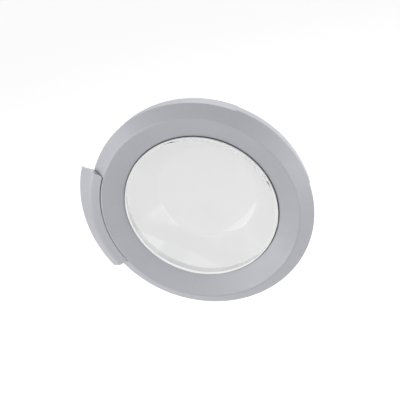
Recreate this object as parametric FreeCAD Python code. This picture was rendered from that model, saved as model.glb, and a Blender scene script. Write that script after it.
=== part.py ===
import FreeCAD, Part
import math
import os

# Washing machine door: a round ring frame with a glass bowl, a pull handle with a latch hook
# on the left and a hinge on the right.
# Millimetres, +Z up. The door faces -Y and its round axis lies along Y.
# Y = 0 is the machine's front panel. Heights h are measured forwards from the glass's front.
# The pieces are drawn about the door's axis and moved to the hinge mount when written.

V = FreeCAD.Vector
CENTRE = V(0, 0, 0)
FORWARD = V(0, -1, 0)
UP = V(0, 0, 1)

# Ring frame seen from the front, from the window outwards
WINDOW_R = 152.0
WINDOW_H = -3.2
CONE_W = 40.8
CREASE_H = 16.4
BRIM_W = 25.0
RIM_H = -1.3
SKIRT_DEPTH = 28.7
DRAFT = 5.0
WALL = 2.6
COLLAR_DEPTH = 3.5
LIP_ROUND = 1.0
CREASE_ROUND = 3.5
RIM_ROUND = 1.3
PANEL_GAP = 2.0

# Clearances
FIT = 0.3
RUN_FIT = 0.05
SPARE = 15.0
TURN = 360.0

# Hinge side of the ring: a wider rim above the hinge, a shorter skirt with a sloping rear edge
# and a notch for the hinge's arms
LIP_FROM = 9.0
LIP_TO = 60.5
LIP_W = 1.7
SHORT = 3.3
RELIEF_IN = 32.8
RELIEF = 12.0
NOTCH_CLEAR = 4.8
NOTCH_H = -6.0

# Glass bowl with a stepped flange
BOSS_GAP = 1.6
MOUTH_LAND = 5.6
SEAT_STEP = 4.5
SEAT_LAP = 11.5
FLANGE_T = 6.0
BOWL_FLOOR_H = -84.0
BOWL_FLOOR_R = 97.0
BOWL_ROUND = 22.0
BOWL_DOME_R = 700.0
GLASS_T = 5.5
GLASS_EDGE = 1.2

# Rubber ring between ring frame and glass
GASKET_INSET = 3.0
GASKET_T = 2.0
GASKET_BEAD_H = -2.6

# Rear frame
RIB_COUNT = 24
RIB_T = 2.2
RIB_RECESS = 4.0
PLATE_T = 2.6
REAR_RIM_H = -18.0
REAR_RIM_ROUND = 1.2
REAR_RECESS = 1.0

# Screws that join the two frames
SCREW_INSET = 10.8
SCREW_STEP = 30
SCREW_COUNT = 12
POST_R = 4.6
POST_H = -22.0
CUP_WALL = 1.8
CUP_CLEAR = 1.4
SHANK_R = 1.95
SHANK_L = 17.0
SHANK_SPARE = 1.5
PASSAGE_CLEAR = 0.35
HEAD_R = 4.0
HEAD_T = 2.6
HEAD_ROUND = 0.9
CROSS_L = 4.4
CROSS_W = 1.0
CROSS_DEPTH = 1.3

# Hinge, its pieces set out from the pin
PIN_INSET = 11.8
PIN_R = 3.0
BUSH_WALL = 1.5
BUSH_L = 12.0
BUSH_FLANGE_T = 1.0
KNUCKLE_WALL = 2.0
KNUCKLE_HALF = 21.0
ARM_GAP = 0.2
ARM_T = 10.0
ARM_FOOT_IN = 19.0
ARM_TOP_IN = 12.0
ARM_BACK_IN = 6.0
ARM_ROUND = 4.0
BASE_T = 4.0
BASE_INNER_IN = 34.0
BASE_OUTER_IN = 5.0
BASE_HALF = 46.0
BASE_ROUND = 7.0
MOUNT_IN = 26.0
MOUNT_HALF = 37.0
MOUNT_HOLE_R = 2.75
PIN_HEAD_STEP = 2.0
PIN_HEAD_T = 2.4
PIN_TAIL = 3.0
CLIP_T = 0.8
CLIP_STEP = 2.2
GROOVE_DEPTH = 0.6
CLIP_MOUTH = 3.2

# Hinge leaf and the recess that holds it
TRAY_CLEAR = 4.0
TRAY_FLOOR_H = -4.0
TRAY_INSET = 6.8
LEAF_FRONT = -10.0
LEAF_T = 4.0
LEAF_GAP = 2.6
LEAF_IN = 23.0
LEAF_HALF = 44.0
LEAF_ROUND = 6.0
TONGUE_HALF = 18.0
LEAF_SCREW_IN = 30.0
LEAF_SCREW_ZS = (-35.0, -13.0, 13.0, 35.0)
LEAF_SHANK_L = 18.5
PAD_R = 6.0

# Handle and its pocket
HANDLE_AT = 180.0
HANDLE_HALF = 29.1
HANDLE_WALL = 3.0
HANDLE_GAP = 2.0
GRIP_TOP_H = 14.2
GRIP_EDGE_DROP = 6.7
GRIP_FLAT_W = 21.6
GRIP_FALL = 1.6
GRIP_REACH = 27.5
GRIP_DROP = 22.6
GRIP_BEND_ROUND = 18.0
GRIP_ROUND = 1.3
END_INNER_H = 4.0
END_OUTER_H = -1.0
END_TAPER = 2.3
LINER_SHORT = 3.6
LINER_T = 2.2
LINER_START = 5.0
LINER_END = 2.2
POCKET_STEP = 1.1
POCKET_H = -6.0
POCKET_END_GAP = 0.25

# Handle pivot
PULL_IN = 11.1
PULL_DROP = 7.9
PULL_R = 1.5
PULL_BOSS_WALL = 1.8
PULL_BOSS_Z0 = 26.0
PULL_BOSS_L = 10.0
STAND_GAP = 0.4
STAND_T = 5.0
STAND_WALL = 1.6
PULL_PIN_PROUD = 0.6

# Latch hook and the lug that works it
LUG_T = 2.8
LUG_HALF = 4.5
LUG_TIP_H = -8.3
LUG_SINK = 2.2
LUG_ROUND = 0.8
PLAY = 0.8
HOOK_IN = 1.9
HOOK_H = -20.0
HOOK_R = 6.0
HOOK_PIN_R = 2.0
HOOK_Z1 = 2.5
HOOK_SIDE_GAP = 0.5
TAIL_T = 3.6
TAIL_TIP_H = -5.7
TAIL_KNEE_H = -12.5
SHANK_HALF = 3.5
NOSE_H = -52.0
NOSE_REACH = 8.5
NOSE_LIP = 2.2
HOOK_END_H = -63.0
HOOK_ROUND = 1.0
EAR_Z0 = 8.0
EAR_T = 3.0
HOOK_PIN_PROUD = 1.5
SLOT_OUT = 5.1
SLOT_IN = 1.6
GATE_OUT = 8.0
GATE_IN = 11.5

# Springs
WIRE_R = 0.6
COIL_PITCH = 1.4
PULL_COIL_GAP = 0.6
PULL_COIL_Z = 12.0
PULL_TURNS = 4.25
PULL_LEG_L = 8.0
HOOK_COIL_GAP = 0.4
HOOK_TURNS = 2.0
HOOK_LEG_L = 8.0

# Rubber buffers on the rear frame
BUFFER_R = 5.0
BUFFER_INSET = 20.8
BUFFER_ANGLES = (75.0, 165.0, 195.0, 285.0)
BUFFER_ROUND = 0.8
BUFFER_PROUD = 1.6

# Ring frame and rear frame, worked out from the sizes above
CREASE_R = WINDOW_R + CONE_W
RIM_R = CREASE_R + BRIM_W
COLLAR_H = WINDOW_H - COLLAR_DEPTH
SLOPE = math.tan(math.radians(DRAFT))
REAR_H = RIM_H - SKIRT_DEPTH
REAR_R = RIM_R - SLOPE * SKIRT_DEPTH
SHORT_H = REAR_H + SHORT
STAND = PANEL_GAP - REAR_H
PANEL_H = -STAND
PLATE_BACK = REAR_H + REAR_RECESS
PLATE_FRONT = PLATE_BACK + PLATE_T
BUFFER_AT = RIM_R - BUFFER_INSET

# Glass, its seat and its rubber ring
BOSS_R = WINDOW_R - BOSS_GAP
MOUTH_R = BOSS_R - MOUTH_LAND
SEAT_R = BOSS_R + SEAT_STEP
FLANGE_R = SEAT_R + SEAT_LAP
FLANGE_FRONT = COLLAR_H - GASKET_T
FLANGE_BACK = FLANGE_FRONT - FLANGE_T
GASKET_R = FLANGE_R - GASKET_INSET
LOCATE_R = FLANGE_R + FIT
COLLAR_R = LOCATE_R + WALL

# Screws and what they pass through
SCREW_R = CREASE_R - SCREW_INSET
SCREW_ANGLES = [i * SCREW_STEP for i in range(SCREW_COUNT) if i * SCREW_STEP not in (0, HANDLE_AT)]
PASSAGE_R = SHANK_R + PASSAGE_CLEAR
CUP_BORE_R = HEAD_R + CUP_CLEAR
CUP_R = CUP_BORE_R + CUP_WALL
CUP_FLOOR = POST_H - PLATE_T

# Hinge
PIN_X = RIM_R - PIN_INSET
PIN_H = LEAF_FRONT - LEAF_T / 2
BUSH_R = PIN_R + BUSH_WALL
KNUCKLE_R = BUSH_R + KNUCKLE_WALL
BUSH_FLANGE_R = KNUCKLE_R - FIT
PIN_HEAD_R = PIN_R + PIN_HEAD_STEP
CLIP_R = PIN_R + CLIP_STEP
GROOVE_R = PIN_R - GROOVE_DEPTH
ARM_Z0 = KNUCKLE_HALF + BUSH_FLANGE_T + ARM_GAP
ARM_Z1 = ARM_Z0 + ARM_T
NOTCH_HALF_Z = ARM_Z1 + NOTCH_CLEAR
BASE_TOP = PANEL_H + BASE_T
MOUNT_X = PIN_X - MOUNT_IN
LEAF_BACK = LEAF_FRONT - LEAF_T
LEAF_INNER_R = COLLAR_R + LEAF_GAP
LEAF_X = PIN_X - LEAF_IN
LEAF_SCREW_X = PIN_X - LEAF_SCREW_IN
TRAY_HALF = BASE_HALF + TRAY_CLEAR
TRAY_TOP_H = TRAY_FLOOR_H + PLATE_T
TRAY_R = RIM_R - TRAY_INSET

# Handle
POCKET_R = CREASE_R + POCKET_STEP
POCKET_HALF = HANDLE_HALF + POCKET_END_GAP
GRIP_R = POCKET_R + HANDLE_GAP
GRIP_EDGE_H = GRIP_TOP_H - GRIP_EDGE_DROP
GRIP_BEND_R = GRIP_R + GRIP_FLAT_W
GRIP_BEND_H = GRIP_TOP_H - GRIP_FALL
GRIP_END_R = GRIP_BEND_R + GRIP_REACH
GRIP_END_H = GRIP_BEND_H - GRIP_DROP
LINER_HALF = HANDLE_HALF - LINER_SHORT
FAR = GRIP_END_R + SPARE
PULL_X = -GRIP_R - PULL_IN
PULL_H = GRIP_TOP_H - PULL_DROP
PULL_WEB_H = GRIP_TOP_H - HANDLE_WALL
PULL_BOSS_R = PULL_R + PULL_BOSS_WALL
PULL_BOSS_Z1 = PULL_BOSS_Z0 + PULL_BOSS_L
STAND_R = PULL_R + STAND_WALL
STAND_Z0 = PULL_BOSS_Z1 + STAND_GAP
STAND_Z1 = STAND_Z0 + STAND_T
PULL_PIN_HALF = STAND_Z1 + PULL_PIN_PROUD

# Latch hook and springs
LUG_ROOT_H = GRIP_TOP_H - LUG_SINK
LUG_X1 = -GRIP_R - FIT
LUG_X0 = LUG_X1 - LUG_T
TAIL_X1 = LUG_X0 - PLAY
TAIL_X0 = TAIL_X1 - TAIL_T
HOOK_X = HOOK_IN - POCKET_R
HOOK_Z0 = HOOK_SIDE_GAP - EAR_Z0
EAR_Z1 = EAR_Z0 + EAR_T
HOOK_PIN_HALF = EAR_Z1 + HOOK_PIN_PROUD
PULL_COIL_R = PULL_R + WIRE_R + PULL_COIL_GAP
HOOK_COIL_R = HOOK_PIN_R + WIRE_R + HOOK_COIL_GAP
HOOK_COIL_Z = HOOK_Z1 + WIRE_R + FIT

# Outside of the ring frame, from the back of its collar over the front to the skirt's rear edge
SKIN = [
    (WINDOW_R, COLLAR_H),
    (WINDOW_R, WINDOW_H, LIP_ROUND),
    (CREASE_R, CREASE_H, CREASE_ROUND),
    (RIM_R, RIM_H, RIM_ROUND),
    (REAR_R, REAR_H),
]

# Outside of the handle, from its inner edge over the grip to the free edge
GRIP = [
    (GRIP_R, GRIP_EDGE_H),
    (GRIP_R, GRIP_TOP_H, GRIP_ROUND),
    (GRIP_BEND_R, GRIP_BEND_H, GRIP_BEND_ROUND),
    (GRIP_END_R, GRIP_END_H, GRIP_ROUND),
]


def y_of(h):
    """Y of a point h in front of the glass's front."""
    return -(h + STAND)


def corner(a, b, c):
    """Start, middle and end of the arc that rounds corner b of the path a, b, c."""
    tip = V(b[0], y_of(b[1]), 0)
    to_a = (V(a[0], y_of(a[1]), 0) - tip).normalize()
    to_c = (V(c[0], y_of(c[1]), 0) - tip).normalize()
    half = to_a.getAngle(to_c) / 2
    reach = b[2] / math.tan(half)
    middle = (to_a + to_c).normalize() * (b[2] / math.sin(half) - b[2])
    return tip + to_a * reach, tip + middle, tip + to_c * reach


def face(points):
    """Flat face bounded by (x, h) points, or (x, h, rounding) where a corner is round."""
    stops = []
    for i, b in enumerate(points):
        if len(b) == 3:
            stops.append(corner(points[i - 1], b, points[(i + 1) % len(points)]))
        else:
            stops.append((V(b[0], y_of(b[1]), 0),))
    edges = []
    for i, stop in enumerate(stops):
        if len(stop) == 3:
            edges.append(Part.Arc(*stop).toShape())
        edges.append(Part.makeLine(stop[-1], stops[(i + 1) % len(stops)][0]))
    return Part.Face(Part.Wire(edges))


def positive(shape):
    """The same solid with its faces pointing outwards."""
    return shape if shape.Volume > 0 else shape.reversed()


def turned(points, middle=0.0, half=TURN / 2):
    """Outline turned about the door's axis, half degrees to each side of the middle angle."""
    shape = face(points)
    shape.rotate(CENTRE, FORWARD, middle - half)
    return positive(shape.revolve(CENTRE, FORWARD, 2 * half))


def slab(points, z0, z1):
    """Outline in x and h, thick from z0 to z1."""
    shape = face(points)
    shape.translate(UP * z0)
    return positive(shape.extrude(UP * (z1 - z0)))


def post(x, z, h0, h1, radius):
    """Round post along the door's axis, from h0 forwards to h1."""
    return Part.makeCylinder(radius, h1 - h0, V(x, y_of(h0), z), FORWARD)


def upright(x, h, z0, z1, radius):
    """Round bar along Z."""
    return Part.makeCylinder(radius, z1 - z0, V(x, y_of(h), z0), UP)


def block(x0, x1, h0, h1, z0, z1):
    """Plain block."""
    return Part.makeBox(x1 - x0, h1 - h0, z1 - z0, V(x0, y_of(h1), z0))


def both(make, z0, z1):
    """A solid between z0 and z1 and its mirror image below."""
    return [make(z0, z1), make(-z1, -z0)]


def right_of(a, b):
    """Unit direction to the right of the way from a to b."""
    length = math.hypot(b[0] - a[0], b[1] - a[1])
    return (b[1] - a[1]) / length, (a[0] - b[0]) / length


def shell(path, wall, start=0.0):
    """Outline of an even wall to the right of an open path, from start to start + wall deep."""
    sides = [right_of(a, b) for a, b in zip(path, path[1:])]

    def moved(depth):
        row = []
        for i, point in enumerate(path):
            n1 = sides[max(i - 1, 0)]
            n2 = sides[min(i, len(sides) - 1)]
            grow = depth / (1 + n1[0] * n2[0] + n1[1] * n2[1])
            row.append((point[0] + grow * (n1[0] + n2[0]), point[1] + grow * (n1[1] + n2[1])))
        return row

    front = moved(start) if start else path
    return front + moved(start + wall)[::-1]


def around(angle):
    """x and z of a point of the frame screw circle."""
    return SCREW_R * math.cos(math.radians(angle)), SCREW_R * math.sin(math.radians(angle))


def skirt_inside(h):
    """Inner radius of the skirt at height h."""
    return RIM_R - SLOPE * (RIM_H - h) - WALL / math.cos(math.radians(DRAFT))


def inside_skin():
    """Everything behind the ring frame's front, as one solid."""
    return turned(SKIN + [(WINDOW_R, REAR_H)])


def handle_stands():
    """Two stands on the pocket floor that carry the handle's pin."""
    foot = POCKET_H - WALL / 2
    stands = []
    for z0, z1 in ((STAND_Z0, STAND_Z1), (-STAND_Z1, -STAND_Z0)):
        stands.append(block(PULL_X - STAND_R, PULL_X + STAND_R, foot, PULL_H, z0, z1))
        stands.append(upright(PULL_X, PULL_H, z0, z1, STAND_R))
    return stands


def rim_lip():
    """Wider rim above the hinge, which runs out at the skirt's rear edge."""
    fall = (CREASE_H - RIM_H) / BRIM_W
    rear_r = RIM_R - SLOPE * (RIM_H - SHORT_H)
    outline = [
        (RIM_R - WALL / 2, RIM_H + fall * WALL / 2),
        (RIM_R + LIP_W, RIM_H - fall * LIP_W, RIM_ROUND),
        (rear_r, SHORT_H),
        (rear_r - WALL / 2, SHORT_H),
    ]
    return turned(outline, (LIP_FROM + LIP_TO) / 2, (LIP_TO - LIP_FROM) / 2)


def hinge_side():
    """What is cut from the skirt on the hinge side."""
    ring = [(CREASE_R, PANEL_H), (CREASE_R, SHORT_H), (FAR, SHORT_H), (FAR, PANEL_H)]
    start = RIM_R - RELIEF_IN
    rise = (FAR - start) * math.tan(math.radians(RELIEF))
    wedge = slab([(start, SHORT_H), (FAR, SHORT_H + rise), (FAR, SHORT_H)], -FAR, FAR)
    notch = block(PIN_X, FAR, PANEL_H, NOTCH_H, -NOTCH_HALF_Z, NOTCH_HALF_Z)
    return [turned(ring, 0.0, LIP_TO), wedge, notch]


def outer_frame():
    """Ring frame: collar, dished cone, outer slope, skirt, handle pocket and screw posts."""
    filled = inside_skin()
    wall_angle = math.degrees(WALL / POCKET_R)
    inner = POCKET_R - WALL
    floor = POCKET_H - WALL
    tray = [(inner, floor), (inner, FAR), (FAR, FAR), (FAR, floor)]
    tray = turned(tray, HANDLE_AT, POCKET_HALF + wall_angle)
    pocket = [(POCKET_R, POCKET_H), (POCKET_R, FAR), (FAR, FAR), (FAR, POCKET_H)]
    pocket = turned(pocket, HANDLE_AT, POCKET_HALF)
    posts = [post(*around(a), POST_H, CREASE_H, POST_R) for a in SCREW_ANGLES]
    posts += [post(LEAF_SCREW_X, z, TRAY_TOP_H, CREASE_H, POST_R) for z in LEAF_SCREW_ZS]
    added = [piece.common(filled) for piece in [tray] + posts]
    body = turned(shell(SKIN, WALL)).fuse(added + [rim_lip()]).cut(pocket).fuse(handle_stands())
    holes = hinge_side()
    slot = (TAIL_X0 - SLOT_OUT, LUG_X1 + SLOT_IN)
    holes.append(block(*slot, floor - FIT, POCKET_H + FIT, -EAR_Z0, EAR_Z0))
    holes.append(upright(PULL_X, PULL_H, -PULL_PIN_HALF, PULL_PIN_HALF, PULL_R + RUN_FIT))
    top = CUP_FLOOR + SHANK_L + SHANK_SPARE
    holes += [post(*around(a), POST_H, top, SHANK_R + RUN_FIT) for a in SCREW_ANGLES]
    top = LEAF_BACK + LEAF_SHANK_L + SHANK_SPARE
    holes += [post(LEAF_SCREW_X, z, TRAY_TOP_H, top, SHANK_R + RUN_FIT) for z in LEAF_SCREW_ZS]
    return body.cut(holes).removeSplitter()


def rear_section():
    """Outline of the rear frame: glass seat, locating rim, flat plate and outer rim."""
    rim_top = skirt_inside(REAR_RIM_H) - FIT
    rim_foot = skirt_inside(PLATE_BACK) - FIT
    return [
        (SEAT_R, PLATE_BACK),
        (SEAT_R, FLANGE_BACK),
        (LOCATE_R, FLANGE_BACK),
        (LOCATE_R, FLANGE_FRONT),
        (COLLAR_R, FLANGE_FRONT),
        (COLLAR_R, PLATE_FRONT),
        (rim_foot - WALL, PLATE_FRONT),
        (rim_top - WALL, REAR_RIM_H),
        (rim_top, REAR_RIM_H),
        (rim_foot, PLATE_BACK, REAR_RIM_ROUND),
        (LOCATE_R, PLATE_BACK),
        (LOCATE_R, FLANGE_BACK - PLATE_T),
        (SEAT_R + WALL, FLANGE_BACK - PLATE_T),
        (SEAT_R + WALL, PLATE_BACK),
    ]


def rear_ribs():
    """Ribs across the groove behind the glass seat."""
    ribs = []
    for i in range(RIB_COUNT):
        across = (SEAT_R + WALL / 2, LOCATE_R + WALL / 2)
        deep = (PLATE_BACK + RIB_RECESS, FLANGE_BACK - PLATE_T / 2)
        rib = block(*across, *deep, -RIB_T / 2, RIB_T / 2)
        rib.rotate(CENTRE, FORWARD, i * TURN / RIB_COUNT)
        ribs.append(rib)
    return ribs


def hinge_tray():
    """Recess in the rear frame for the hinge, and the space it leaves free."""
    ring = [(LOCATE_R, PLATE_BACK), (LOCATE_R, TRAY_TOP_H), (TRAY_R, TRAY_TOP_H), (TRAY_R, PLATE_BACK)]
    wide = TRAY_HALF + WALL
    tray = block(0, FAR, PLATE_BACK, TRAY_TOP_H, -wide, wide).common(turned(ring))
    beyond = [(COLLAR_R, PANEL_H), (COLLAR_R, TRAY_FLOOR_H), (FAR, TRAY_FLOOR_H), (FAR, PANEL_H)]
    space = block(0, FAR, PANEL_H, TRAY_FLOOR_H, -TRAY_HALF, TRAY_HALF).common(turned(beyond))
    return tray, space


def hook_ears():
    """Two ears on the rear frame that carry the hook's pin."""
    foot = PLATE_FRONT - PLATE_T / 2

    def ear(z0, z1):
        arch = upright(HOOK_X, HOOK_H, z0, z1, HOOK_R)
        return block(HOOK_X - HOOK_R, HOOK_X + HOOK_R, foot, HOOK_H, z0, z1).fuse(arch)

    return both(ear, EAR_Z0, EAR_Z1)


def buffer_spots():
    """x and z of the rubber buffers."""
    turns = [math.radians(a) for a in BUFFER_ANGLES]
    return [(BUFFER_AT * math.cos(t), BUFFER_AT * math.sin(t)) for t in turns]


def inner_frame():
    """Rear frame: glass seat, plate with screw cups, hinge recess and hook ears."""
    tray, space = hinge_tray()
    body = turned(rear_section())
    cups = [post(*around(a), PLATE_BACK, POST_H, CUP_R) for a in SCREW_ANGLES]
    pads = [post(LEAF_SCREW_X, z, LEAF_FRONT, TRAY_TOP_H, PAD_R) for z in LEAF_SCREW_ZS]
    body = body.fuse(rear_ribs() + cups + [tray]).cut(space).fuse(pads + hook_ears())
    holes = [post(*around(a), PANEL_H, CUP_FLOOR, CUP_BORE_R) for a in SCREW_ANGLES]
    holes += [post(*around(a), PANEL_H, 0.0, PASSAGE_R) for a in SCREW_ANGLES]
    holes += [post(LEAF_SCREW_X, z, PANEL_H, 0.0, PASSAGE_R) for z in LEAF_SCREW_ZS]
    gate = (HOOK_X - GATE_OUT, HOOK_X + GATE_IN)
    holes.append(block(*gate, PANEL_H, HOOK_H, -EAR_Z0, EAR_Z0))
    holes.append(upright(HOOK_X, HOOK_H, -HOOK_PIN_HALF, HOOK_PIN_HALF, HOOK_PIN_R + RUN_FIT))
    seat = PLATE_BACK + PLATE_T / 2
    holes += [post(x, z, PANEL_H, seat, BUFFER_R + RUN_FIT) for x, z in buffer_spots()]
    return body.cut(holes).removeSplitter()


def bowl(floor_h, floor_r, mouth_r, mouth_h, rounding):
    """Solid bowl shape with a slightly domed floor and a rounded foot."""
    body = turned([(0.0, mouth_h), (mouth_r, mouth_h), (floor_r, floor_h), (0.0, floor_h)])
    ball = Part.makeSphere(BOWL_DOME_R, V(0, y_of(floor_h + BOWL_DOME_R), 0))
    body = body.common(ball)
    deepest = body.BoundBox.YMax
    foot = min(body.Edges, key=lambda edge: deepest - edge.BoundBox.YMax - edge.BoundBox.XMax)
    return body.makeFillet(rounding, [foot])


def glass_bowl():
    """Pressed glass bowl with a stepped flange."""
    lean = math.atan2(MOUTH_R - BOWL_FLOOR_R, -BOWL_FLOOR_H)
    side = GLASS_T / math.cos(lean)
    back_h = BOWL_FLOOR_H - GLASS_T
    floor_r = BOWL_FLOOR_R + side - GLASS_T * math.tan(lean)
    root_r = MOUTH_R + side + FLANGE_FRONT * math.tan(lean)
    body = bowl(back_h, floor_r, root_r, FLANGE_FRONT, BOWL_ROUND + GLASS_T)
    flange = turned([
        (0.0, 0.0),
        (BOSS_R, 0.0, GLASS_EDGE),
        (BOSS_R, FLANGE_FRONT),
        (FLANGE_R, FLANGE_FRONT, GLASS_EDGE),
        (FLANGE_R, FLANGE_BACK, GLASS_EDGE),
        (0.0, FLANGE_BACK),
    ])
    hollow = bowl(BOWL_FLOOR_H, BOWL_FLOOR_R, MOUTH_R, 0.0, BOWL_ROUND)
    return body.fuse(flange).cut(hollow).removeSplitter()


def glass_gasket():
    """Rubber ring with a bead in the gap between ring frame and glass."""
    inner = BOSS_R + FIT
    bead = WINDOW_R - FIT
    return turned([
        (inner, FLANGE_FRONT),
        (inner, GASKET_BEAD_H),
        (bead, GASKET_BEAD_H),
        (bead, COLLAR_H),
        (GASKET_R, COLLAR_H),
        (GASKET_R, FLANGE_FRONT),
    ])


def screw(x, z, seat_h, length):
    """Pan head screw driven forwards, its head behind seat_h."""
    head = Part.makeCylinder(HEAD_R, HEAD_T, V(x, y_of(seat_h), z), -FORWARD)
    crown = max(head.Edges, key=lambda edge: edge.BoundBox.YMin)
    body = head.makeFillet(HEAD_ROUND, [crown]).fuse(post(x, z, seat_h, seat_h + length, SHANK_R))
    back = seat_h - HEAD_T
    deep = (back, back + CROSS_DEPTH)
    for wide, tall in ((CROSS_L, CROSS_W), (CROSS_W, CROSS_L)):
        body = body.cut(block(x - wide / 2, x + wide / 2, *deep, z - tall / 2, z + tall / 2))
    return body


def frame_screws():
    """Screws from the rear frame into the ring frame."""
    return Part.makeCompound([screw(*around(a), CUP_FLOOR, SHANK_L) for a in SCREW_ANGLES])


def leaf_screws():
    """Screws through the hinge leaf into the ring frame."""
    return Part.makeCompound([screw(LEAF_SCREW_X, z, LEAF_BACK, LEAF_SHANK_L) for z in LEAF_SCREW_ZS])


def door_buffers():
    """Rubber studs on the rear frame that meet the panel."""
    studs = []
    for x, z in buffer_spots():
        stud = post(x, z, PLATE_BACK - BUFFER_PROUD, PLATE_BACK + PLATE_T / 2, BUFFER_R)
        crown = max(stud.Edges, key=lambda edge: edge.BoundBox.YMin)
        studs.append(stud.makeFillet(BUFFER_ROUND, [crown]))
    return Part.makeCompound(studs)


def hinge_leaf():
    """Door side of the hinge: plate, tongue and knuckle."""
    plate = block(0, LEAF_X, LEAF_BACK, LEAF_FRONT, -LEAF_HALF, LEAF_HALF)
    outside = [(LEAF_INNER_R, LEAF_BACK), (LEAF_INNER_R, LEAF_FRONT), (FAR, LEAF_FRONT), (FAR, LEAF_BACK)]
    plate = plate.common(turned(outside))
    ends = [e for e in plate.Edges if abs(e.BoundBox.XMin - LEAF_X) < FIT and e.BoundBox.ZLength < FIT]
    plate = plate.makeFillet(LEAF_ROUND, ends)
    tongue = block(LEAF_SCREW_X, PIN_X, LEAF_BACK, LEAF_FRONT, -TONGUE_HALF, TONGUE_HALF)
    knuckle = upright(PIN_X, PIN_H, -KNUCKLE_HALF, KNUCKLE_HALF, KNUCKLE_R)
    body = plate.fuse([tongue, knuckle])
    holes = [upright(PIN_X, PIN_H, -KNUCKLE_HALF, KNUCKLE_HALF, BUSH_R + RUN_FIT)]
    holes += [post(LEAF_SCREW_X, z, LEAF_BACK, LEAF_FRONT, PASSAGE_R) for z in LEAF_SCREW_ZS]
    return body.cut(holes).removeSplitter()


def hinge_bush():
    """Flanged bush in the upper end of the knuckle."""
    body = upright(PIN_X, PIN_H, KNUCKLE_HALF - BUSH_L, KNUCKLE_HALF, BUSH_R)
    flange = upright(PIN_X, PIN_H, KNUCKLE_HALF, KNUCKLE_HALF + BUSH_FLANGE_T, BUSH_FLANGE_R)
    bore = upright(PIN_X, PIN_H, 0.0, ARM_Z1, PIN_R + RUN_FIT)
    return body.fuse(flange).cut(bore).removeSplitter()


def mirrored(shape):
    """The same piece below the middle of the door."""
    return shape.mirror(CENTRE, UP)


def hinge_bracket():
    """Fixed side of the hinge: base plate on the panel and two arms."""
    inner, outer = PIN_X - BASE_INNER_IN, PIN_X - BASE_OUTER_IN
    base = block(inner, outer, PANEL_H, BASE_TOP, -BASE_HALF, BASE_HALF)
    base = base.makeFillet(BASE_ROUND, [e for e in base.Edges if e.BoundBox.YLength > BASE_T / 2])
    top = PIN_H + KNUCKLE_R
    foot = BASE_TOP - BASE_T / 2
    side = [
        (PIN_X - ARM_FOOT_IN, foot),
        (PIN_X - ARM_FOOT_IN, PIN_H, ARM_ROUND),
        (PIN_X - ARM_TOP_IN, top, ARM_ROUND),
        (PIN_X, top),
        (PIN_X, PIN_H - KNUCKLE_R),
        (PIN_X - ARM_BACK_IN, PIN_H - KNUCKLE_R, ARM_ROUND / 2),
        (PIN_X - ARM_BACK_IN, foot),
    ]

    def arm(z0, z1):
        return slab(side, z0, z1).fuse(upright(PIN_X, PIN_H, z0, z1, KNUCKLE_R))

    body = base.fuse(both(arm, ARM_Z0, ARM_Z1))
    holes = [upright(PIN_X, PIN_H, -ARM_Z1, ARM_Z1, PIN_R + RUN_FIT)]
    holes += [post(MOUNT_X, z, PANEL_H, BASE_TOP, MOUNT_HOLE_R) for z in (-MOUNT_HALF, MOUNT_HALF)]
    return body.cut(holes).removeSplitter()


def hinge_pin():
    """Headed pin with a groove for its clip."""
    low = -ARM_Z1 - PIN_TAIL
    body = upright(PIN_X, PIN_H, low, ARM_Z1, PIN_R)
    head = upright(PIN_X, PIN_H, ARM_Z1, ARM_Z1 + PIN_HEAD_T, PIN_HEAD_R)
    groove_z = -ARM_Z1 - RUN_FIT
    ring = upright(PIN_X, PIN_H, groove_z - CLIP_T - RUN_FIT, groove_z, PIN_HEAD_R)
    groove = ring.cut(upright(PIN_X, PIN_H, low, ARM_Z1, GROOVE_R))
    body = body.fuse(head).cut(groove).removeSplitter()
    crown = max(body.Edges, key=lambda edge: edge.BoundBox.ZMin)
    return body.makeFillet(HEAD_ROUND, [crown])


def pin_clip():
    """Open clip in the pin's groove."""
    top = -ARM_Z1 - RUN_FIT
    body = upright(PIN_X, PIN_H, top - CLIP_T, top, CLIP_R)
    bore = upright(PIN_X, PIN_H, top - CLIP_T, top, GROOVE_R + RUN_FIT)
    mouth = block(PIN_X, FAR, PIN_H - CLIP_MOUTH / 2, PIN_H + CLIP_MOUTH / 2, top - CLIP_T, top)
    return body.cut([bore, mouth])


def upper_taper(inset):
    """What lies beyond the slanting outer part of the handle's upper end, moved in by inset."""
    foot = math.radians(HANDLE_AT - HANDLE_HALF)
    tip = math.radians(HANDLE_AT - HANDLE_HALF + END_TAPER)
    start = V(math.cos(foot), 0, math.sin(foot)) * GRIP_BEND_R
    along = V(math.cos(tip), 0, math.sin(tip)) * GRIP_END_R - start
    along.normalize()
    beyond = along.cross(FORWARD)
    start += V(0, y_of(-FAR), 0) - beyond * inset
    loop = [start, start + along * FAR, start + (along + beyond) * FAR, start + beyond * FAR, start]
    return positive(Part.Face(Part.makePolygon(loop)).extrude(FORWARD * (2 * FAR)))


def handle_ends():
    """Walls that close the handle's two ends down to the ring."""
    outline = [(GRIP_R, END_INNER_H)] + GRIP[1:] + [(RIM_R, END_OUTER_H)]
    half = math.degrees(HANDLE_WALL / GRIP_BEND_R) / 2
    walls = [turned(outline, HANDLE_AT + side * (HANDLE_HALF - half), half) for side in (-1, 1)]
    return walls + [turned(outline, HANDLE_AT, HANDLE_HALF).common(upper_taper(HANDLE_WALL))]


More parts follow.
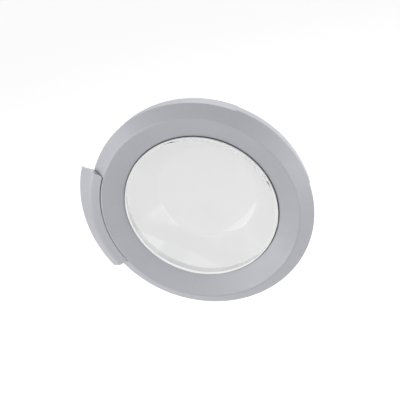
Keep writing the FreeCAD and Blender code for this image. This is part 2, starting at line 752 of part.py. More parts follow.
def handle():
    """Pull handle: curved shell with closed ends, pivot bosses and the lug that works the hook."""
    pieces = handle_ends()
    for z0, z1 in ((PULL_BOSS_Z0, PULL_BOSS_Z1), (-PULL_BOSS_Z1, -PULL_BOSS_Z0)):
        pieces.append(block(PULL_X - PULL_BOSS_R, PULL_X + PULL_BOSS_R, PULL_H, PULL_WEB_H, z0, z1))
        pieces.append(upright(PULL_X, PULL_H, z0, z1, PULL_BOSS_R))
    lug = [
        (LUG_X1, LUG_TIP_H, LUG_ROUND),
        (LUG_X1, LUG_ROOT_H),
        (LUG_X0, LUG_ROOT_H),
        (LUG_X0, LUG_TIP_H, LUG_ROUND),
    ]
    pieces.append(slab(lug, -LUG_HALF, LUG_HALF))
    body = turned(shell(GRIP, HANDLE_WALL), HANDLE_AT, HANDLE_HALF).fuse(pieces)
    bore = upright(PULL_X, PULL_H, -PULL_BOSS_Z1, PULL_BOSS_Z1, PULL_R + RUN_FIT)
    return body.cut([bore, upper_taper(0.0)]).removeSplitter()


def handle_liner():
    """Finger side of the grip, let into the back of the handle."""
    bend, end = GRIP[2], GRIP[3]
    length = math.hypot(end[0] - bend[0], end[1] - bend[1])
    run = ((end[0] - bend[0]) / length, (end[1] - bend[1]) / length)
    path = [(bend[0] + run[0] * s, bend[1] + run[1] * s) for s in (LINER_START, length - LINER_END)]
    return turned(shell(path, LINER_T, HANDLE_WALL), HANDLE_AT, LINER_HALF)


def round_pin(x, h, half, radius):
    """Plain pin with rounded ends."""
    body = upright(x, h, -half, half, radius)
    ends = [e for e in body.Edges if e.BoundBox.ZLength < FIT]
    return body.makeFillet(radius / 3, ends)


def latch_hook():
    """Latch hook: tail in front, shank and nose behind, on a round boss."""
    tail = [
        (TAIL_X1, TAIL_TIP_H, HOOK_ROUND),
        (TAIL_X1, TAIL_KNEE_H),
        (HOOK_X, HOOK_H + HOOK_R),
        (HOOK_X, HOOK_H),
        (HOOK_X - HOOK_R, HOOK_H),
        (TAIL_X0, TAIL_KNEE_H, HOOK_R),
        (TAIL_X0, TAIL_TIP_H, HOOK_ROUND),
    ]
    left = HOOK_X - SHANK_HALF
    right = HOOK_X + SHANK_HALF
    nose = left - NOSE_REACH
    shank = [
        (right, HOOK_H),
        (right, HOOK_END_H, HOOK_ROUND),
        (left, HOOK_END_H, HOOK_ROUND),
        (nose, NOSE_H - NOSE_LIP, HOOK_ROUND),
        (nose, NOSE_H, HOOK_ROUND / 2),
        (left, NOSE_H, HOOK_ROUND),
        (left, HOOK_H),
    ]
    boss = upright(HOOK_X, HOOK_H, HOOK_Z0, HOOK_Z1, HOOK_R)
    body = boss.fuse([slab(tail, HOOK_Z0, HOOK_Z1), slab(shank, HOOK_Z0, HOOK_Z1)])
    return body.cut(upright(HOOK_X, HOOK_H, HOOK_Z0, HOOK_Z1, HOOK_PIN_R + RUN_FIT)).removeSplitter()


def torsion_spring(x, h, z, radius, turns, rear_leg, front_leg):
    """Torsion spring about an upright pin, with a leg to the rear and one along its last turn."""
    helix = Part.Wire(Part.makeHelix(COIL_PITCH, COIL_PITCH * turns, radius, 0, True))
    section = Part.Wire(Part.makeCircle(WIRE_R, V(radius, 0, 0), V(0, 1, 0)))
    coil = helix.makePipeShell([section], True, True)
    last = -math.radians(TURN * turns)
    end = V(radius * math.cos(last), radius * math.sin(last), COIL_PITCH * turns)
    away = V(math.sin(last), -math.cos(last), 0)
    legs = [Part.makeCylinder(WIRE_R, rear_leg, V(radius, 0, 0), -FORWARD)]
    legs.append(Part.makeCylinder(WIRE_R, front_leg, end, away))
    body = positive(coil).fuse(legs)
    body.translate(V(x, y_of(h), z))
    return body


def handle_spring():
    """Spring that closes the handle, from the pocket floor to the handle's shell."""
    drop = PULL_H - POCKET_H - FIT
    return torsion_spring(PULL_X, PULL_H, PULL_COIL_Z, PULL_COIL_R, PULL_TURNS, drop, PULL_LEG_L)


def hook_spring():
    """Spring that holds the hook out, from the rear frame's plate to the hook's tail."""
    drop = HOOK_H - PLATE_FRONT - FIT
    return torsion_spring(HOOK_X, HOOK_H, HOOK_COIL_Z, HOOK_COIL_R, HOOK_TURNS, drop, HOOK_LEG_L)


os.makedirs("parts", exist_ok=True)
bush = hinge_bush()
nodes = {
    "outer_frame": outer_frame(),
    "inner_frame": inner_frame(),
    "glass_bowl": glass_bowl(),
    "glass_gasket": glass_gasket(),
    "frame_screws": frame_screws(),
    "door_buffers": door_buffers(),
    "hinge_leaf": hinge_leaf(),
    "leaf_screws": leaf_screws(),
    "hinge_bush_upper": bush,
    "hinge_bush_lower": mirrored(bush),
    "hinge_bracket": hinge_bracket(),
    "hinge_pin": hinge_pin(),
    "pin_clip": pin_clip(),
    "handle": handle(),
    "handle_liner": handle_liner(),
    "handle_pin": round_pin(PULL_X, PULL_H, PULL_PIN_HALF, PULL_R),
    "handle_spring": handle_spring(),
    "latch_hook": latch_hook(),
    "hook_pin": round_pin(HOOK_X, HOOK_H, HOOK_PIN_HALF, HOOK_PIN_R),
    "hook_spring": hook_spring(),
}
for name, shape in nodes.items():
    shape.translate(V(-MOUNT_X, 0, 0))
    shape.exportStep(f"parts/{name}.step")
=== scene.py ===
import math

import bmesh
import bpy
from bpy.props import FloatProperty, FloatVectorProperty, IntProperty, PointerProperty
from mathutils import Matrix, Vector


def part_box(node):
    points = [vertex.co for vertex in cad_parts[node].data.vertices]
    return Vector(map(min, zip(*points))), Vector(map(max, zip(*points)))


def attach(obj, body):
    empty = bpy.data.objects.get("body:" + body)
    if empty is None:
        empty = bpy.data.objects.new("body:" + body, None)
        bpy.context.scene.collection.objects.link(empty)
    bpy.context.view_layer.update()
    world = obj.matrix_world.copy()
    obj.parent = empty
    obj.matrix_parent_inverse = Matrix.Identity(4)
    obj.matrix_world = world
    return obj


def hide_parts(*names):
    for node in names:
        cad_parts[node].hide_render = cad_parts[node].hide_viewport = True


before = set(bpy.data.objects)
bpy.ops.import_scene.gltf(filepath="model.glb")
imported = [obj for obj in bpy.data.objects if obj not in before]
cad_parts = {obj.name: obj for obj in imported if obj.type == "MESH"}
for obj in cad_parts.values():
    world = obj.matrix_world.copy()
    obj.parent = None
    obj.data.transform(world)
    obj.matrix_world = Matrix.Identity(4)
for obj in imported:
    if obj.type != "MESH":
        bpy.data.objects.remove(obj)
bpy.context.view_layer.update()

bl_info = {
    "name": "Washing machine door",
    "version": (1, 0, 0),
    "blender": (4, 5, 0),
    "location": "View3D > Sidebar > Door",
    "description": "Finishes, glass bowl and studio for a front loader's round door",
    "category": "Object",
}

# The glass node gives the door's axis and the planes of the pressed bowl
GLASS_LOW, GLASS_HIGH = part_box("glass_bowl")
AXIS_X = (GLASS_LOW.x + GLASS_HIGH.x) / 2
GLASS_FRONT = GLASS_LOW.y
GLASS_BACK = GLASS_HIGH.y
FLANGE_R = (GLASS_HIGH.x - GLASS_LOW.x) / 2
RING_LOW, RING_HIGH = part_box("glass_gasket")
GASKET_FRONT = RING_LOW.y
GASKET_BACK = RING_HIGH.y
GASKET_R = (RING_HIGH.x - RING_LOW.x) / 2
WINDOW_MIDDLE = Vector((AXIS_X, GLASS_FRONT, 0.0))

# Meshing: distance of doubles in metres, steps of a rounding and of the bowl's dome, angle of a sharp edge
WELD = 1e-6
ROUND_STEPS = 8
DOME_STEPS = 5
SHARP_ANGLE = math.radians(32)

# Rounding of the rubber bead as a share of its width
CROWN_SHARE = 0.45

# How near the boss's radius a face of its side lies, as a share of the edge rounding; these faces take the
# milky ground glass, whose white is partly a painted highlight of the glass edge
SIDE_SHARE = 0.25

# Studio floor: half its side in metres, its shade where it lights the door and where it is seen, the glow
# that is added where it is seen, and its roughness
FLOOR_HALF = 30.0
FLOOR_LIT = 0.9
FLOOR_SEEN = 0.25
FLOOR_GLOW = 0.9
FLOOR_ROUGHNESS = 0.9

# Soft lamps: side of each square in metres; then name, place from the window's middle, watts
PANEL_SIDE = 1.8
LAMPS = (
    ("left_panel", (-2.0, -0.4, 0.25), 6.0),
    ("left_front_panel", (-1.5, -1.4, 0.2), 19.1),
    ("left_high_panel", (-1.4, -0.9, 1.3), 3.3),
    ("top_panel", (0.0, -0.3, 2.1), 7.8),
    ("front_panel", (0.0, -2.1, 0.25), 5.4),
    ("right_panel", (2.0, -0.4, 0.25), 22.0),
    ("back_top_panel", (0.0, 1.3, 1.6), 21.7),
    ("back_right_panel", (1.6, 1.0, 0.5), 12.9),
)
# From behind and from the left, these lamps would show through the glass as bright squares
HIDDEN_PANELS = ("front_panel", "back_right_panel")


def length(name, description, default):
    """Property that holds a length in metres."""
    return FloatProperty(name=name, description=description, default=default, unit="LENGTH", precision=4)


def colour(name, description, default):
    """Property that holds a colour."""
    return FloatVectorProperty(name=name, description=description, default=default, subtype="COLOR",
                               size=3, min=0.0, max=1.0)


def turn(name, description, degrees):
    """Property that holds an angle."""
    return FloatProperty(name=name, description=description, default=math.radians(degrees), subtype="ANGLE")


class DoorSizes(bpy.types.PropertyGroup):
    """Sizes of the pieces that are modelled here."""

    boss_r: length("Boss radius", "Raised part of the glass inside the window", 0.1504)
    mouth_r: length("Mouth radius", "Inside of the bowl at its mouth", 0.1448)
    floor_r: length("Floor radius", "Inside of the bowl at its floor", 0.097)
    wall: length("Glass wall", "Thickness of the pressed glass", 0.0055)
    step: length("Flange step", "From the boss's front to the flange's front", 0.0087)
    flange: length("Flange thickness", "Thickness of the glass flange", 0.006)
    dome_r: length("Dome radius", "Radius of the bowl's domed floor", 0.7)
    foot_round: length("Foot rounding", "Rounding between the bowl's wall and floor", 0.022)
    mouth_round: length("Mouth rounding", "Rounding of the glass at the bowl's mouth", 0.0025)
    edge_round: length("Edge rounding", "Rounding of the boss and flange edges", 0.0012)
    bead_inner_r: length("Bead inner radius", "Inside of the rubber bead around the glass", 0.1507)
    bead_outer_r: length("Bead outer radius", "Outside of the rubber bead around the glass", 0.1517)
    lip: length("Rubber lip", "Thickness of the rubber ring under the frame's collar", 0.002)
    steps: IntProperty(name="Steps", description="Steps of a full turn", default=192, min=32)


class DoorColours(bpy.types.PropertyGroup):
    """Colours of the finishes."""

    paint: colour("Silver paint", "Ring frame and handle", (0.472, 0.479, 0.515))
    rear: colour("Rear plastic", "Rear frame", (0.90, 0.90, 0.91))
    grip: colour("Grip plastic", "Finger side of the handle", (0.30, 0.31, 0.33))
    bush: colour("Bush plastic", "Hinge bushes", (0.80, 0.80, 0.77))
    glass: colour("Glass", "Tint of the pressed glass", (0.690, 0.690, 0.692))
    # Milky white of the ground glass: partly its own colour, partly a painted highlight of the glass edge
    ground_and_highlight: colour("Ground glass", "Side of the glass's boss", (0.85, 0.85, 0.85))
    # Near black: partly the rubber's own colour, partly painted shade for the shadow in the gap between frame
    # and glass
    seal_and_shade: colour("Seal rubber", "Ring around the glass", (0.06, 0.06, 0.06))
    rubber: colour("Dark rubber", "Buffers", (0.045, 0.045, 0.05))
    cast: colour("Cast metal", "Hinge and hook castings", (0.52, 0.53, 0.54))
    steel: colour("Plated steel", "Screws, pins and springs", (0.62, 0.62, 0.60))


class DoorStage(bpy.types.PropertyGroup):
    """Floor, lamps and camera."""

    floor_drop: length("Floor drop", "Floor below the door's centre", 0.5)
    distance: length("Camera distance", "Camera to the middle of the window", 1.5)
    azimuth: turn("Camera azimuth", "Camera to the right of the door's front", 18.187)
    elevation: turn("Camera elevation", "Camera above the door's centre", 26.892)
    roll: turn("Camera roll", "Camera turned about its line of sight", -13.383)
    lens: FloatProperty(name="Lens", description="Focal length", default=70.362, unit="CAMERA")
    shift: FloatProperty(name="Shift", description="Upward shift of the picture", default=0.023)
    ambient: FloatProperty(name="Ambient", description="Strength of the even light", default=0.02)


def mixed(tree, blend, a, b):
    """Colour mix node of two inputs at full strength. Returns its result."""
    node = tree.nodes.new("ShaderNodeMix")
    node.data_type = "RGBA"
    node.blend_type = blend
    node.inputs["Factor"].default_value = 1.0
    tree.links.new(a, node.inputs["A"])
    tree.links.new(b, node.inputs["B"])
    return node.outputs["Result"]


def ranged(tree, value, low, high, start=0.3, stop=0.7):
    """Map Range node from the span of a noise, or from start to stop, to the span from low to high.
    Returns its result."""
    node = tree.nodes.new("ShaderNodeMapRange")
    node.inputs["From Min"].default_value = start
    node.inputs["From Max"].default_value = stop
    tree.links.new(value, node.inputs["Value"])
    for source, socket in ((low, "To Min"), (high, "To Max")):
        if isinstance(source, float):
            node.inputs[socket].default_value = source
        else:
            tree.links.new(source, node.inputs[socket])
    return node.outputs["Result"]


def noise(tree, scale, detail, stretch=None):
    """Noise texture on object coordinates. Returns its value."""
    place = tree.nodes.new("ShaderNodeTexCoord").outputs["Object"]
    if stretch:
        mapping = tree.nodes.new("ShaderNodeMapping")
        tree.links.new(place, mapping.inputs["Vector"])
        tree.links.new(stretch, mapping.inputs["Scale"])
        place = mapping.outputs["Vector"]
    node = tree.nodes.new("ShaderNodeTexNoise")
    node.inputs["Detail"].default_value = detail
    tree.links.new(place, node.inputs["Vector"])
    tree.links.new(scale, node.inputs["Scale"])
    return node.outputs["Fac"]


def new_group(name, inputs, output):
    """Shader node group with its sockets. Returns the tree and the nodes for its two ends."""
    tree = bpy.data.node_groups.new(name, "ShaderNodeTree")
    for socket, kind, default in inputs:
        tree.interface.new_socket(socket, in_out="INPUT", socket_type=kind).default_value = default
    tree.interface.new_socket(output[0], in_out="OUTPUT", socket_type=output[1])
    return tree, tree.nodes.new("NodeGroupInput"), tree.nodes.new("NodeGroupOutput")


def tone_group():
    """A colour that grows a little lighter and darker over the surface."""
    tree, start, end = new_group("Surface tone", (
        ("Colour", "NodeSocketColor", (0.5, 0.5, 0.5, 1.0)),
        ("Lowest", "NodeSocketFloat", 0.97),
        ("Highest", "NodeSocketFloat", 1.03),
        ("Scale", "NodeSocketFloat", 20.0),
    ), ("Colour", "NodeSocketColor"))
    shade = noise(tree, start.outputs["Scale"], 3.0)
    shade = ranged(tree, shade, start.outputs["Lowest"], start.outputs["Highest"])
    tree.links.new(mixed(tree, "MULTIPLY", start.outputs["Colour"], shade), end.inputs["Colour"])
    return tree


def flake_group():
    """A colour broken up by the fine flakes of a metallic paint."""
    tree, start, end = new_group("Paint flake", (
        ("Colour", "NodeSocketColor", (0.5, 0.5, 0.5, 1.0)),
        ("Lowest", "NodeSocketFloat", 0.95),
        ("Highest", "NodeSocketFloat", 1.05),
        ("Scale", "NodeSocketFloat", 1500.0),
    ), ("Colour", "NodeSocketColor"))
    cells = tree.nodes.new("ShaderNodeTexVoronoi")
    place = tree.nodes.new("ShaderNodeTexCoord").outputs["Object"]
    tree.links.new(place, cells.inputs["Vector"])
    tree.links.new(start.outputs["Scale"], cells.inputs["Scale"])
    split = tree.nodes.new("ShaderNodeSeparateColor")
    tree.links.new(cells.outputs["Color"], split.inputs["Color"])
    shade = ranged(tree, split.outputs["Red"], start.outputs["Lowest"], start.outputs["Highest"])
    tree.links.new(mixed(tree, "MULTIPLY", start.outputs["Colour"], shade), end.inputs["Colour"])
    return tree


def gloss_group():
    """Roughness that wanders between two values, as handled surfaces do."""
    tree, start, end = new_group("Surface gloss", (
        ("Lowest", "NodeSocketFloat", 0.4),
        ("Highest", "NodeSocketFloat", 0.5),
        ("Scale", "NodeSocketFloat", 30.0),
    ), ("Roughness", "NodeSocketFloat"))
    value = noise(tree, start.outputs["Scale"], 4.0)
    value = ranged(tree, value, start.outputs["Lowest"], start.outputs["Highest"])
    tree.links.new(value, end.inputs["Roughness"])
    return tree


def grain_group():
    """Height of a fine moulded, cast or drawn grain, stretched along an axis where asked."""
    tree, start, end = new_group("Surface grain", (
        ("Scale", "NodeSocketFloat", 900.0),
        ("Stretch", "NodeSocketVector", (1.0, 1.0, 1.0)),
    ), ("Height", "NodeSocketFloat"))
    value = noise(tree, start.outputs["Scale"], 2.0, start.outputs["Stretch"])
    tree.links.new(value, end.inputs["Height"])
    return tree


def placed(tree, group, **values):
    """Node group placed in a material with its own values. Returns the node."""
    node = tree.nodes.new("ShaderNodeGroup")
    node.node_tree = group
    for name, value in values.items():
        node.inputs[name].default_value = value
    return node


def opaque(rgb):
    """Colour with full alpha."""
    return (*rgb, 1.0)


class Finish:
    """A material under construction: its tree, its shader and the shared groups."""

    groups = {}

    def __init__(self, name):
        self.material = bpy.data.materials.new(name)
        self.material.use_nodes = True
        self.tree = self.material.node_tree
        self.shader = self.tree.nodes["Principled BSDF"]

    def set(self, **sockets):
        """Sets plain values on the shader's own sockets."""
        for name, value in sockets.items():
            self.shader.inputs[name.replace("_", " ")].default_value = value
        return self

    def group(self, name):
        """Shared group of that name, made when it is first asked for."""
        makers = {"tone": tone_group, "flake": flake_group, "gloss": gloss_group, "grain": grain_group}
        if name not in Finish.groups:
            Finish.groups[name] = makers[name]()
        return Finish.groups[name]

    def tone(self, rgb, lowest, highest, scale):
        """Base colour that varies over the surface."""
        node = placed(self.tree, self.group("tone"), Colour=opaque(rgb), Lowest=lowest, Highest=highest,
                      Scale=scale)
        self.tree.links.new(node.outputs["Colour"], self.shader.inputs["Base Color"])
        return self

    def flake(self, lowest, highest, scale):
        """Breaks the base colour up into flakes."""
        node = placed(self.tree, self.group("flake"), Lowest=lowest, Highest=highest, Scale=scale)
        base = self.shader.inputs["Base Color"]
        self.tree.links.new(base.links[0].from_socket, node.inputs["Colour"])
        self.tree.links.new(node.outputs["Colour"], base)
        return self

    def gloss(self, lowest, highest, scale):
        """Roughness that varies over the surface."""
        node = placed(self.tree, self.group("gloss"), Lowest=lowest, Highest=highest, Scale=scale)
        self.tree.links.new(node.outputs["Roughness"], self.shader.inputs["Roughness"])
        return self

    def light_shadow(self, depth):
        """Shadow of that depth only, so that lamps light what lies behind."""
        shadow = self.tree.nodes.new("ShaderNodeLightPath").outputs["Is Shadow Ray"]
        self.tree.links.new(ranged(self.tree, shadow, 1.0, depth, 0.0, 1.0), self.shader.inputs["Alpha"])
        return self

    def grain(self, scale, strength, depth, stretch=(1.0, 1.0, 1.0)):
        """Fine relief on the surface, depth in metres."""
        node = placed(self.tree, self.group("grain"), Scale=scale, Stretch=stretch)
        bump = self.tree.nodes.new("ShaderNodeBump")
        bump.inputs["Strength"].default_value = strength
        bump.inputs["Distance"].default_value = depth
        self.tree.links.new(node.outputs["Height"], bump.inputs["Height"])
        self.tree.links.new(bump.outputs["Normal"], self.shader.inputs["Normal"])
        return self


def silver_paint(colours):
    """Satin silver paint with a fine flake."""
    finish = Finish("silver_paint").set(Metallic=0.15, Specular_IOR_Level=0.5)
    finish.tone(colours.paint, 0.985, 1.015, 14.0).flake(0.96, 1.04, 1600.0)
    return finish.gloss(0.36, 0.44, 24.0).grain(2200.0, 0.12, 0.0002).material


def rear_plastic(colours):
    """Light grey moulded plastic with an even fine grain."""
    finish = Finish("rear_plastic").tone(colours.rear, 0.97, 1.03, 18.0)
    return finish.gloss(0.48, 0.60, 30.0).grain(1500.0, 0.3, 0.0003).material


def grip_plastic(colours):
    """Darker grained plastic on the finger side of the grip."""
    finish = Finish("grip_plastic").tone(colours.grip, 0.92, 1.08, 40.0)
    return finish.gloss(0.5, 0.62, 60.0).grain(1200.0, 0.4, 0.0003).material


def bush_plastic(colours):
    """Smooth waxy plastic of the bushes."""
    finish = Finish("bush_plastic").tone(colours.bush, 0.97, 1.02, 90.0)
    return finish.gloss(0.3, 0.4, 120.0).grain(1800.0, 0.1, 0.0002).material


def clear_glass(colours):
    """Pressed clear glass with the faint waves and wipe marks of use. The photograph shows hardly any bending
    at the thick rim, so the body bends light little and a clear coat gives the face its reflection."""
    finish = Finish("clear_glass").set(Transmission_Weight=1.0, IOR=1.03, Coat_Weight=0.5, Coat_IOR=1.5)
    finish.tone(colours.glass, 0.985, 1.015, 9.0).gloss(0.04, 0.07, 16.0)
    return finish.light_shadow(0.0).grain(14.0, 0.03, 0.001).material


def ground_glass_and_highlight(colours):
    """Ground side of the glass's boss, milky white, and partly a painted highlight of the glass edge catching
    the light.
    """
    finish = Finish("ground_glass_and_highlight").tone(colours.ground_and_highlight, 0.96, 1.02, 40.0)
    return finish.gloss(0.5, 0.6, 60.0).grain(1500.0, 0.3, 0.0002).material


def soft_rubber(name, rgb):
    """Matt rubber of a given colour."""
    finish = Finish(name).tone(rgb, 0.85, 1.18, 60.0)
    return finish.gloss(0.62, 0.78, 80.0).grain(1400.0, 0.35, 0.0003).material


def cast_metal(colours):
    """Shot blasted die casting."""
    finish = Finish("cast_metal").set(Metallic=1.0).tone(colours.cast, 0.9, 1.08, 60.0)
    return finish.gloss(0.42, 0.58, 90.0).grain(1100.0, 0.45, 0.0004).material


def plated_steel(colours):
    """Bright zinc plate with faint drawn streaks."""
    finish = Finish("plated_steel").set(Metallic=1.0).tone(colours.steel, 0.9, 1.06, 150.0)
    return finish.gloss(0.2, 0.34, 200.0).grain(900.0, 0.2, 0.0002, (1.0, 1.0, 0.15)).material


def dress(material, *nodes):
    """Gives CAD nodes a finish."""
    for name in nodes:
        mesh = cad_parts[name].data
        mesh.materials.clear()
        mesh.materials.append(material)


def tangent_length(outline, index, radius):
    """How far from a corner of an outline a rounding of that radius starts."""
    here = Vector(outline[index])
    a = Vector(outline[index - 1]) - here
    b = Vector(outline[(index + 1) % len(outline)]) - here
    return radius / math.tan(a.angle(b) / 2)


def spun(name, outline, rounds, steps, material):
    """Piece turned about the door's axis from a closed outline of (radius, y) points.
    rounds maps a corner's place in the outline to its rounding."""
    bm = bmesh.new()
    corners = [bm.verts.new((AXIS_X + r, y, 0.0)) for r, y in outline]
    for a, b in zip(corners, corners[1:] + corners[:1]):
        bm.edges.new((a, b))
    for index, radius in rounds.items():
        bmesh.ops.bevel(bm, geom=[corners[index]], offset=tangent_length(outline, index, radius),
                        offset_type="OFFSET", affect="VERTICES", segments=ROUND_STEPS, profile=0.5,
                        material=-1)
    bmesh.ops.spin(bm, geom=bm.verts[:] + bm.edges[:], cent=(AXIS_X, 0.0, 0.0), axis=(0.0, 1.0, 0.0),
                   angle=math.tau, steps=steps, use_merge=True)
    bmesh.ops.remove_doubles(bm, verts=bm.verts[:], dist=WELD)
    bmesh.ops.recalc_face_normals(bm, faces=bm.faces[:])
    for each in bm.faces:
        each.smooth = True
    mesh = bpy.data.meshes.new(name)
    bm.to_mesh(mesh)
    bm.free()
    mesh.set_sharp_from_angle(angle=SHARP_ANGLE)
    mesh.materials.append(material)
    piece = bpy.data.objects.new(name, mesh)
    bpy.context.scene.collection.objects.link(piece)
    return piece


def bowl_outline(sizes):
    """Closed outline of the pressed glass and the roundings of its corners."""
    lean = math.atan2(sizes.mouth_r - sizes.floor_r, GLASS_BACK - sizes.wall - GLASS_FRONT)
    side = sizes.wall / math.cos(lean)
    fall = math.tan(lean)

    def domed(radius, deepest):
        return (radius, deepest - radius * radius / (2 * sizes.dome_r))

    def wall_radius(y, mouth):
        return mouth - fall * (y - GLASS_FRONT)

    def floor(deepest, mouth):
        foot = wall_radius(domed(sizes.floor_r, deepest)[1], mouth)
        return [domed(foot * step / DOME_STEPS, deepest) for step in range(DOME_STEPS + 1)]

    inner = floor(GLASS_BACK - sizes.wall, sizes.mouth_r)
    outer = floor(GLASS_BACK, sizes.mouth_r + side)
    flange_front = GLASS_FRONT + sizes.step
    flange_back = flange_front + sizes.flange
    rim = [
        (sizes.mouth_r, GLASS_FRONT),
        (sizes.boss_r, GLASS_FRONT),
        (sizes.boss_r, flange_front),
        (FLANGE_R, flange_front),
        (FLANGE_R, flange_back),
        (wall_radius(flange_back, sizes.mouth_r + side), flange_back),
    ]
    outline = inner + rim + outer[::-1]
    first = len(inner)
    rounds = {
        first - 1: sizes.foot_round,
        first: sizes.mouth_round,
        first + 1: sizes.edge_round,
        first + 3: sizes.edge_round,
        first + 4: sizes.edge_round,
        first + len(rim): sizes.foot_round + sizes.wall,
    }
    return outline, rounds


class DOOR_OT_glass(bpy.types.Operator):
    """Pressed glass bowl in the middle of the door"""

    bl_idname = "door.glass"
    bl_label = "Glass bowl"

    def execute(self, context):
        sizes = context.scene.door_sizes
        colours = context.scene.door_colours
        outline, rounds = bowl_outline(sizes)
        bowl = spun("pressed_bowl", outline, rounds, sizes.steps, clear_glass(colours))
        bowl.data.materials.append(ground_glass_and_highlight(colours))
        for each in bowl.data.polygons:
            from_axis = math.hypot(each.center.x - AXIS_X, each.center.z)
            # Faces on the boss's side take the ground glass, whose white is partly a painted highlight
            if abs(from_axis - sizes.boss_r) < sizes.edge_round * SIDE_SHARE:
                each.material_index = 1
        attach(bowl, "door")
        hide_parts("glass_bowl")
        return {"FINISHED"}


class DOOR_OT_rubber(bpy.types.Operator):
    """Rubber ring around the glass and the rubber buffers behind the door"""

    bl_idname = "door.rubber"
    bl_label = "Rubber pieces"

    def execute(self, context):
        sizes = context.scene.door_sizes
        colours = context.scene.door_colours
        shelf = GASKET_BACK - sizes.lip
        outline = [
            (sizes.bead_inner_r, GASKET_BACK),
            (sizes.bead_inner_r, GASKET_FRONT),
            (sizes.bead_outer_r, GASKET_FRONT),
            (sizes.bead_outer_r, shelf),
            (GASKET_R, shelf),
            (GASKET_R, GASKET_BACK),
        ]
        crown = (sizes.bead_outer_r - sizes.bead_inner_r) * CROWN_SHARE
        # The seal's near black is partly real rubber and partly painted shade of the gap around the glass
        seal_and_shade = soft_rubber("seal_rubber_and_shade", colours.seal_and_shade)
        ring = spun("glass_ring", outline, {1: crown, 2: crown}, sizes.steps, seal_and_shade)
        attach(ring, "door")
        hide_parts("glass_gasket")
        dress(soft_rubber("dark_rubber", colours.rubber), "door_buffers")
        return {"FINISHED"}


class DOOR_OT_mouldings(bpy.types.Operator):
    """Finishes of the plastic pieces"""

    bl_idname = "door.mouldings"
    bl_label = "Plastic pieces"

    def execute(self, context):
        colours = context.scene.door_colours
        dress(silver_paint(colours), "outer_frame", "handle")
        dress(rear_plastic(colours), "inner_frame")
        dress(grip_plastic(colours), "handle_liner")
        dress(bush_plastic(colours), "hinge_bush_upper", "hinge_bush_lower")
        return {"FINISHED"}


class DOOR_OT_metalwork(bpy.types.Operator):
    """Finishes of the hinge, the latch hook and the fasteners"""

    bl_idname = "door.metalwork"
    bl_label = "Metal pieces"

    def execute(self, context):
        colours = context.scene.door_colours
        dress(cast_metal(colours), "hinge_leaf", "hinge_bracket", "latch_hook")
        dress(plated_steel(colours), "frame_screws", "leaf_screws", "hinge_pin", "pin_clip",
              "handle_pin", "hook_pin", "handle_spring", "hook_spring")
        return {"FINISHED"}


def lamp(name, place, power):
    """Square soft lamp that faces the window's middle."""
    data = bpy.data.lights.new(name, "AREA")
    data.shape = "SQUARE"
    data.size = PANEL_SIDE
    data.energy = power
    light = bpy.data.objects.new(name, data)
    light.location = WINDOW_MIDDLE + Vector(place)
    light.rotation_euler = Vector(place).to_track_quat("Z", "Y").to_euler()
    light.visible_transmission = name not in HIDDEN_PANELS
    bpy.context.scene.collection.objects.link(light)


def seen_directly(tree):
    """Value that is 1 for what the camera sees straight, in a gloss or through glass."""
    path = tree.nodes.new("ShaderNodeLightPath")
    total = path.outputs["Is Camera Ray"]
    for name in ("Is Glossy Ray", "Is Transmission Ray"):
        node = tree.nodes.new("ShaderNodeMath")
        node.operation = "MAXIMUM"
        tree.links.new(total, node.inputs[0])
        tree.links.new(path.outputs[name], node.inputs[1])
        total = node.outputs["Value"]
    return total


def studio_world(stage):
    """Even white surroundings, dimmer as a light than as a background."""
    world = bpy.data.worlds.new("studio")
    world.use_nodes = True
    tree = world.node_tree
    level = ranged(tree, seen_directly(tree), stage.ambient, 1.0, 0.0, 1.0)
    tree.links.new(level, tree.nodes["Background"].inputs["Strength"])
    tree.nodes["Background"].inputs["Color"].default_value = (1.0, 1.0, 1.0, 1.0)
    bpy.context.scene.world = world


def floor_finish():
    """Pale matt floor that stays white to the eye and still takes the door's shadow."""
    material = bpy.data.materials.new("studio_floor")
    material.use_nodes = True
    tree = material.node_tree
    shader = tree.nodes["Principled BSDF"]
    shader.inputs["Roughness"].default_value = FLOOR_ROUGHNESS
    shader.inputs["Emission Color"].default_value = (1.0, 1.0, 1.0, 1.0)
    seen = seen_directly(tree)
    tree.links.new(ranged(tree, seen, FLOOR_LIT, FLOOR_SEEN, 0.0, 1.0), shader.inputs["Base Color"])
    tree.links.new(ranged(tree, seen, 0.0, FLOOR_GLOW, 0.0, 1.0), shader.inputs["Emission Strength"])
    return material


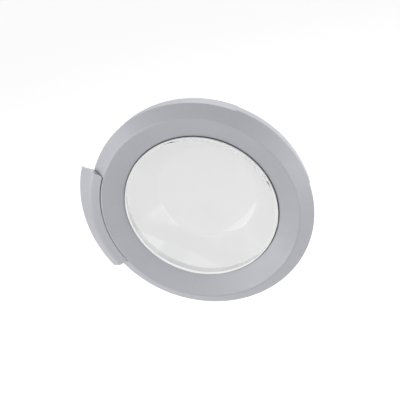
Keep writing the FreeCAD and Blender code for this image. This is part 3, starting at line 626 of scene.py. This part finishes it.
class DOOR_OT_stage(bpy.types.Operator):
    """Floor, lamps, white surroundings and the camera"""

    bl_idname = "door.stage"
    bl_label = "Studio"

    def execute(self, context):
        stage = context.scene.door_stage
        bm = bmesh.new()
        bmesh.ops.create_grid(bm, x_segments=1, y_segments=1, size=FLOOR_HALF)
        bmesh.ops.translate(bm, vec=(AXIS_X, 0.0, -stage.floor_drop), verts=bm.verts[:])
        mesh = bpy.data.meshes.new("studio_floor")
        bm.to_mesh(mesh)
        bm.free()
        mesh.materials.append(floor_finish())
        floor = bpy.data.objects.new("studio_floor", mesh)
        context.scene.collection.objects.link(floor)
        for row in LAMPS:
            lamp(*row)
        studio_world(stage)
        self.camera(context.scene, stage)
        context.scene.view_settings.view_transform = "Standard"
        return {"FINISHED"}

    def camera(self, scene, stage):
        """Camera at the viewing angle of the photograph."""
        data = bpy.data.cameras.new("camera")
        data.lens = stage.lens
        data.shift_y = stage.shift
        camera = bpy.data.objects.new("camera", data)
        back = Vector((math.sin(stage.azimuth) * math.cos(stage.elevation),
                       -math.cos(stage.azimuth) * math.cos(stage.elevation),
                       math.sin(stage.elevation)))
        level = Vector((math.cos(stage.azimuth), math.sin(stage.azimuth), 0.0))
        turned = Matrix.Rotation(stage.roll, 3, back)
        right = turned @ level
        up = back.cross(right)
        camera.matrix_world = Matrix.Translation(WINDOW_MIDDLE + back * stage.distance) @ Matrix(
            (right, up, back)).transposed().to_4x4()
        scene.collection.objects.link(camera)
        scene.camera = camera


class DOOR_PT_panel(bpy.types.Panel):
    """Sizes, colours and the steps that dress the door"""

    bl_idname = "DOOR_PT_panel"
    bl_label = "Washing machine door"
    bl_space_type = "VIEW_3D"
    bl_region_type = "UI"
    bl_category = "Door"

    def draw(self, context):
        for group in (context.scene.door_sizes, context.scene.door_colours, context.scene.door_stage):
            box = self.layout.box()
            for name in group.__annotations__:
                box.prop(group, name)
        for operator in OPERATORS:
            self.layout.operator(operator.bl_idname)


GROUPS = {"door_sizes": DoorSizes, "door_colours": DoorColours, "door_stage": DoorStage}
OPERATORS = (DOOR_OT_glass, DOOR_OT_rubber, DOOR_OT_mouldings, DOOR_OT_metalwork, DOOR_OT_stage)
CLASSES = (*GROUPS.values(), *OPERATORS, DOOR_PT_panel)


def register():
    for each in CLASSES:
        bpy.utils.register_class(each)
    for name, group in GROUPS.items():
        setattr(bpy.types.Scene, name, PointerProperty(type=group))


def unregister():
    for name in GROUPS:
        delattr(bpy.types.Scene, name)
    for each in reversed(CLASSES):
        bpy.utils.unregister_class(each)


def main():
    register()
    bpy.ops.door.glass()
    bpy.ops.door.rubber()
    bpy.ops.door.mouldings()
    bpy.ops.door.metalwork()
    bpy.ops.door.stage()


if __name__ == "__main__":
    main()
